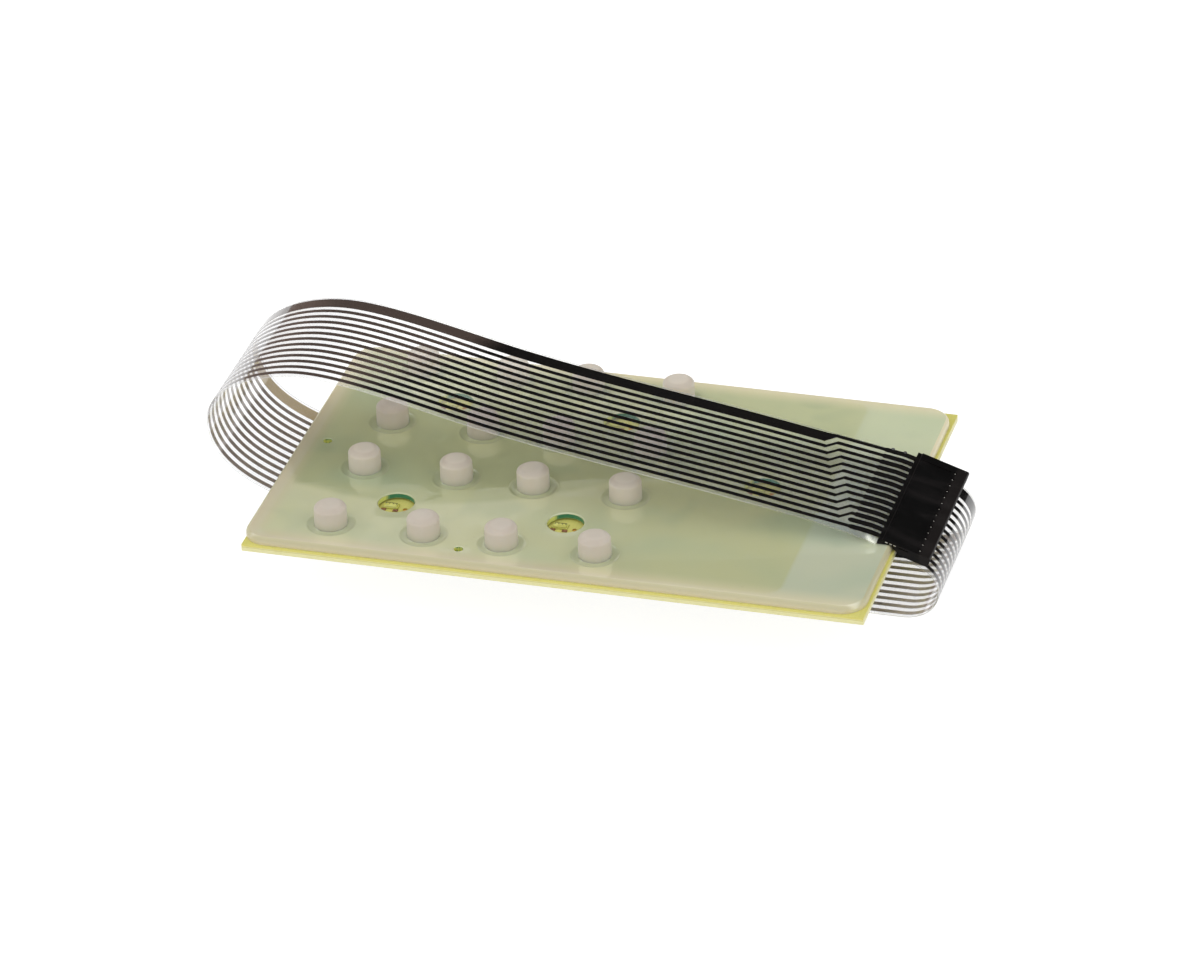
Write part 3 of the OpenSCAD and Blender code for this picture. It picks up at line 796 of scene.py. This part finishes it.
class KEYPAD_OT_lamps(Operator):
    """Five small lamps in the mat's windows, each with two soldered feet in front, a dark bracket
    line behind and a gilt spot beside it"""
    bl_idname = "keypad.lamps"
    bl_label = "Lamps"

    def execute(self, context):
        t = Tree("lamp_resin")
        cloud = t.band(t.noise(700, 3), 0.4, 0.7)
        resin = t.principled(Base_Color=t.mix(cloud, tone(214, 214, 124), tone(196, 194, 98)), Roughness=0.25,
                             Subsurface_Weight=0.3, Subsurface_Radius=(1.0, 0.9, 0.3),
                             Subsurface_Scale=0.0005)
        t = Tree("lamp_solder")
        crust = t.band(t.noise(1400, 3, 0.6), 0.4, 0.7)
        solder = t.principled(Base_Color=t.mix(crust, tone(128, 84, 62), tone(168, 124, 88)), Roughness=0.45,
                              Metallic=0.3, Normal=t.bump(crust, 0.2, 0.00005))
        t = Tree("lamp_bracket_print")
        wear = t.band(t.noise(1800, 3, 0.6), 0.45, 0.7)
        mark = t.principled(Base_Color=t.mix(wear, tone(92, 92, 48), tone(132, 128, 66)), Roughness=0.6)
        gilt = metal_material("gilt_spot", tone(232, 176, 84), tone(190, 132, 58))
        for n, (x, y) in enumerate(WINDOWS, 1):
            x, y, shape = x + LAMP_SHIFT[0], y + LAMP_SHIFT[1], Shape()
            shape.box((x - 1.7, x + 1.7), (y - 0.7, y + 1.3), (0.0, 0.45), 0.06)
            shape.box((x - 1.45, x + 1.45), (y - 0.55, y + 1.15), (0.45, 0.7), 0.12)
            for side in (-1.35, 1.35):
                shape.box((x + side - 0.6, x + side + 0.6), (y - 1.6, y - 0.7), (0.0, 0.2), 0.08, slot=1)
            shape.box((x - 1.3, x + 1.3), (y + 0.75, y + 0.97), (0.69, 0.73), 0.005, slot=2)
            for end in (-1.3, -0.5, 0.3, 1.1):
                shape.box((x + end, x + end + 0.2), (y + 0.35, y + 0.75), (0.69, 0.72), 0.005, slot=2)
            shape.lathe(x + 3.3, y - 0.2, [(0.5, 0.0), (0.5, 0.05), (0.42, 0.08), (0.0, 0.09)], 20, slot=3)
            piece(f"window_lamp_{n}", shape, [resin, solder, mark, gilt], stands_for=[f"lamp_{n}"],
                  merge=False)
        return {"FINISHED"}


def tail_route():
    """Middle line of the tail in X and Z: cubic curves through the same knots as the part's
    source, sampled finely. Returns the distance along it, from the start of the last straight
    stretch, with the points and the outward directions. A knot has X and Z, the direction in
    degrees, the reach of the curve before and after it, and the steps to the next knot."""
    root, rest, straight = -1.77, -15.67, 9
    knots = [(121, root, 0, 0, 6, 2), (139.1, root, 0, 6, 4.4, 40),
             (147.15, (root + rest) / 2, -90, 3.8, 4, 40), (139, rest, 180, 4.8, 20, 3),
             (46, rest, 180, 20, 17, 48), (-2.7, -2.8, 157, 10, 7.6, 32), (-16.1, 13.2, 90, 8.6, 8.5, 40),
             (6.3, 26.9, 0, 10.5, 10.5, 40), (46.1, 19, -12.4, 13, 20, 30), (109, 7.75, -10.6, 22, 7, 24),
             (131.2, 3.6, -10.6, 7, 0.9, 10), (ENTRY[0], ENTRY[1], -19, 1, 2, 6),
             (ENTRY[0] + TAIL_INSIDE * math.cos(TILT), ENTRY[1] - TAIL_INSIDE * math.sin(TILT), -19, 2, 0, 0)]
    parts = []
    for a, b in zip(knots[:-1], knots[1:]):
        p0, p3 = np.array(a[:2]), np.array(b[:2])
        ta, tb = math.radians(a[2]), math.radians(b[2])
        p1 = p0 + a[4] * np.array([math.cos(ta), math.sin(ta)])
        p2 = p3 - b[3] * np.array([math.cos(tb), math.sin(tb)])
        u = np.linspace(0, 1, a[5], endpoint=False)[:, None]
        parts.append((1 - u) ** 3 * p0 + 3 * u * (1 - u) ** 2 * p1 + 3 * u * u * (1 - u) * p2 + u ** 3 * p3)
    line = np.concatenate(parts + [[knots[-1][:2]]])
    step = np.linalg.norm(np.diff(line, axis=0), axis=1)
    along = np.concatenate([[0], np.cumsum(step)])
    along -= along[sum(k[5] for k in knots[:straight])]
    way = np.gradient(line, along, axis=0, edge_order=1)
    way /= np.linalg.norm(way, axis=1)[:, None]
    return along, line, np.stack([-way[:, 1], way[:, 0]], -1)


class Tail:
    """The tail's middle line, with points at every place where a printed line turns."""

    def __init__(self):
        along, line, out = tail_route()
        turns = [*BROAD_TURN, FINGERS_START]
        turns += [JOG_START + JOG_STEP * k + run for k in range(JOGS) for run in (0, JOG_RUN)]
        turns += [FINGERS_START - ROUND_END_R * math.cos(v) for v in np.linspace(0, np.pi / 2, 7)]
        turns += [self.at_x(along, line, x) for x, _ in FLARE]
        self.along = np.unique(np.round(np.concatenate([along, turns]), 5))
        self.line = np.stack([np.interp(self.along, along, line[:, i]) for i in (0, 1)], -1)
        out = np.stack([np.interp(self.along, along, out[:, i]) for i in (0, 1)], -1)
        self.out = out / np.linalg.norm(out, axis=1)[:, None]

    @staticmethod
    def at_x(along, line, x):
        """Distance along the tail at which its last 60 points pass over x."""
        return float(np.interp(x, line[-60:, 0], along[-60:]))

    def at(self, rows, off, y):
        """Points at a distance off the middle line, at y across."""
        p = self.line[rows] + np.asarray(off)[..., None] * self.out[rows]
        return np.stack([p[..., 0], np.broadcast_to(y, p[..., 0].shape), p[..., 1]], -1)

    def ribbon(self, shape, low, high, y_low, y_high, rows=slice(None), slots=(0, 0, 0)):
        """A closed flat ribbon: its section is a rectangle from low to high off the middle line and
        from y_low to y_high across, carried along the tail. slots are the outer face, the inner
        face and the sides."""
        n = len(self.along[rows])
        a = np.broadcast_to(y_low, n)
        b = np.broadcast_to(y_high, n)
        corners = np.stack([self.at(rows, np.full(n, high), a), self.at(rows, np.full(n, high), b),
                            self.at(rows, np.full(n, low), b), self.at(rows, np.full(n, low), a)], 1)
        faces = grid_faces(n, 4)
        kinds = np.tile([slots[0], slots[2], slots[1], slots[2]], n - 1)
        caps = np.array([[3, 2, 1, 0], [4 * n - 4, 4 * n - 3, 4 * n - 2, 4 * n - 1]])
        shape.add(corners, np.concatenate([faces, caps])[:, ::-1], np.concatenate([kinds, [slots[2]] * 2]))


class KEYPAD_OT_tail(Operator):
    """Clear film tail and its fourteen printed lines, from the board's underside round both loops
    to the connector"""
    bl_idname = "keypad.tail"
    bl_label = "Tail"

    def execute(self, context):
        s = context.scene.keypad_tail
        tail = Tail()
        half, ink = s.film * 500, s.ink * 1000
        film = Shape()
        near = np.interp(tail.line[:, 0], *np.transpose(FLARE))
        near = np.where(tail.along > 0, near, TAIL_Y[0])
        tail.ribbon(film, -half, half, near, TAIL_Y[1], slots=(0, 0, 1))
        piece("clear_film", film, [film_material(), film_edge_material()], stands_for=["tail_film"],
              sharp=50)

        lines = Shape()
        thin, broad, finger = s.track * 1000, s.broad * 1000, s.finger * 1000
        low, high = half - 0.02, half + ink

        def printed(centre, width, rows=slice(None)):
            tail.ribbon(lines, low, high, centre - width / 2, centre + width / 2, rows, (0, 1, 0))

        narrow = np.interp(tail.along, [FINGERS_START, FINGERS_START + 0.0001], [thin, finger])
        centre = np.interp(tail.along, BROAD_TURN, [BROAD_Y, FINGER_Y[0]])
        width = np.interp(tail.along, BROAD_TURN, [broad, thin])
        printed(centre, np.where(tail.along < BROAD_TURN[1], width, narrow))
        for k in range(JOGS):
            start = JOG_START + JOG_STEP * k
            printed(np.interp(tail.along, [start, start + JOG_RUN], [THIN_Y[k], FINGER_Y[k + 1]]), narrow)
        # The last thin track lies in line with its finger
        printed(np.full(len(tail.along), FINGER_Y[13]), narrow)
        # The lone finger starts in a half circle
        r = finger / 2
        rows = np.flatnonzero(tail.along >= FINGERS_START - r + 1e-6)
        reach = np.clip((FINGERS_START - tail.along[rows]) / r, 0, 1)
        printed(FINGER_Y[12], 2 * r * np.sqrt(np.clip(1 - reach ** 2, 0.004, 1)), rows)
        face = ink_material("track_ink", s.ink_face[:], 0.16, tone(20, 15, 12), face_zones)
        back = ink_material("track_ink_back", s.ink_back[:], 0.4, tone(172, 158, 140), back_zones)
        # Two drops of ink lie on the film's back edge in front of the connector
        drop = ((0.0, -0.15), (0.4, -0.15), (0.45, 0.05), (0.36, 0.22), (0.0, 0.3))
        for x in INK_DROPS_X:
            at = tail.at_x(tail.along, tail.line, x)
            z = float(np.interp(at, tail.along, tail.line[:, 1]))
            lines.lathe(x, TAIL_Y[1] + 0.05, [(r, z + h) for r, h in drop], 16)
        piece("printed_lines", lines, [face, back], stands_for=["tail_tracks"],
              merge=False, sharp=50)
        return {"FINISHED"}


class KEYPAD_OT_connector(Operator):
    """Black connector, its lid, its fourteen contacts, their tips and three tin blocks that stand for glints
    at the lid's near end
    """
    bl_idname = "keypad.connector"
    bl_label = "Connector"

    def execute(self, context):
        dress(["connector_housing", "connector_cover"], plastic_material(context.scene.keypad_tail))
        tin = metal_material("tinned_contact", tone(226, 224, 216), tone(178, 174, 164))
        dress(["crimp_contacts"], tin)
        # The contacts' tips show in the small windows; at the near end of the lid three small tin blocks
        # stand for glints, painted glints. They are laid out level, with X and Z from the connector's
        # mouth, and tilted with it afterwards
        tips, window_run, lid_glint_runs = Shape(), 9.2, (1.9, 2.9, 3.8)
        for y in FINGER_Y:
            tips.lathe(window_run, y, [(0.0, -0.3), (0.2, -0.3), (0.2, 0.3), (0.14, 0.46), (0.0, 0.52)], 12)
        # Painted glints: three tin blocks at the lid's near end
        for run in lid_glint_runs:
            tips.box((run - 0.3, run + 0.3), (27.3, 27.5), (0.1, 0.26), 0.03)
        cos, sin = math.cos(TILT), math.sin(TILT)
        turn = np.array([[cos, 0, -sin], [0, 1, 0], [sin, 0, cos]])
        tips.points = [p @ turn + (ENTRY[0], 0, ENTRY[1]) for p in tips.points]
        piece("contact_tips_and_lid_glints", tips, [tin], merge=False)
        return {"FINISHED"}


class KEYPAD_PT_panel(Panel):
    """Lists the keypad's pieces"""
    bl_label = "Keypad"
    bl_idname = "KEYPAD_PT_panel"
    bl_space_type = "VIEW_3D"
    bl_region_type = "UI"
    bl_category = "Keypad"

    def draw(self, context):
        for operator in OPERATORS:
            self.layout.operator(operator.bl_idname)
        for group in (context.scene.keypad_mat, context.scene.keypad_tail):
            for name in group.__annotations__:
                self.layout.prop(group, name)


OPERATORS = (KEYPAD_OT_stage, KEYPAD_OT_board, KEYPAD_OT_mat, KEYPAD_OT_keys, KEYPAD_OT_lamps, KEYPAD_OT_tail,
             KEYPAD_OT_connector)
CLASSES = (KeypadMatSettings, KeypadTailSettings) + OPERATORS + (KEYPAD_PT_panel,)


def register():
    for kind in CLASSES:
        bpy.utils.register_class(kind)
    bpy.types.Scene.keypad_mat = PointerProperty(type=KeypadMatSettings)
    bpy.types.Scene.keypad_tail = PointerProperty(type=KeypadTailSettings)


def unregister():
    del bpy.types.Scene.keypad_tail
    del bpy.types.Scene.keypad_mat
    for kind in reversed(CLASSES):
        bpy.utils.unregister_class(kind)


def main():
    register()
    bpy.ops.keypad.stage()
    bpy.ops.keypad.board()
    bpy.ops.keypad.mat()
    bpy.ops.keypad.keys()
    bpy.ops.keypad.lamps()
    bpy.ops.keypad.tail()
    bpy.ops.keypad.connector()


if __name__ == "__main__":
    main()
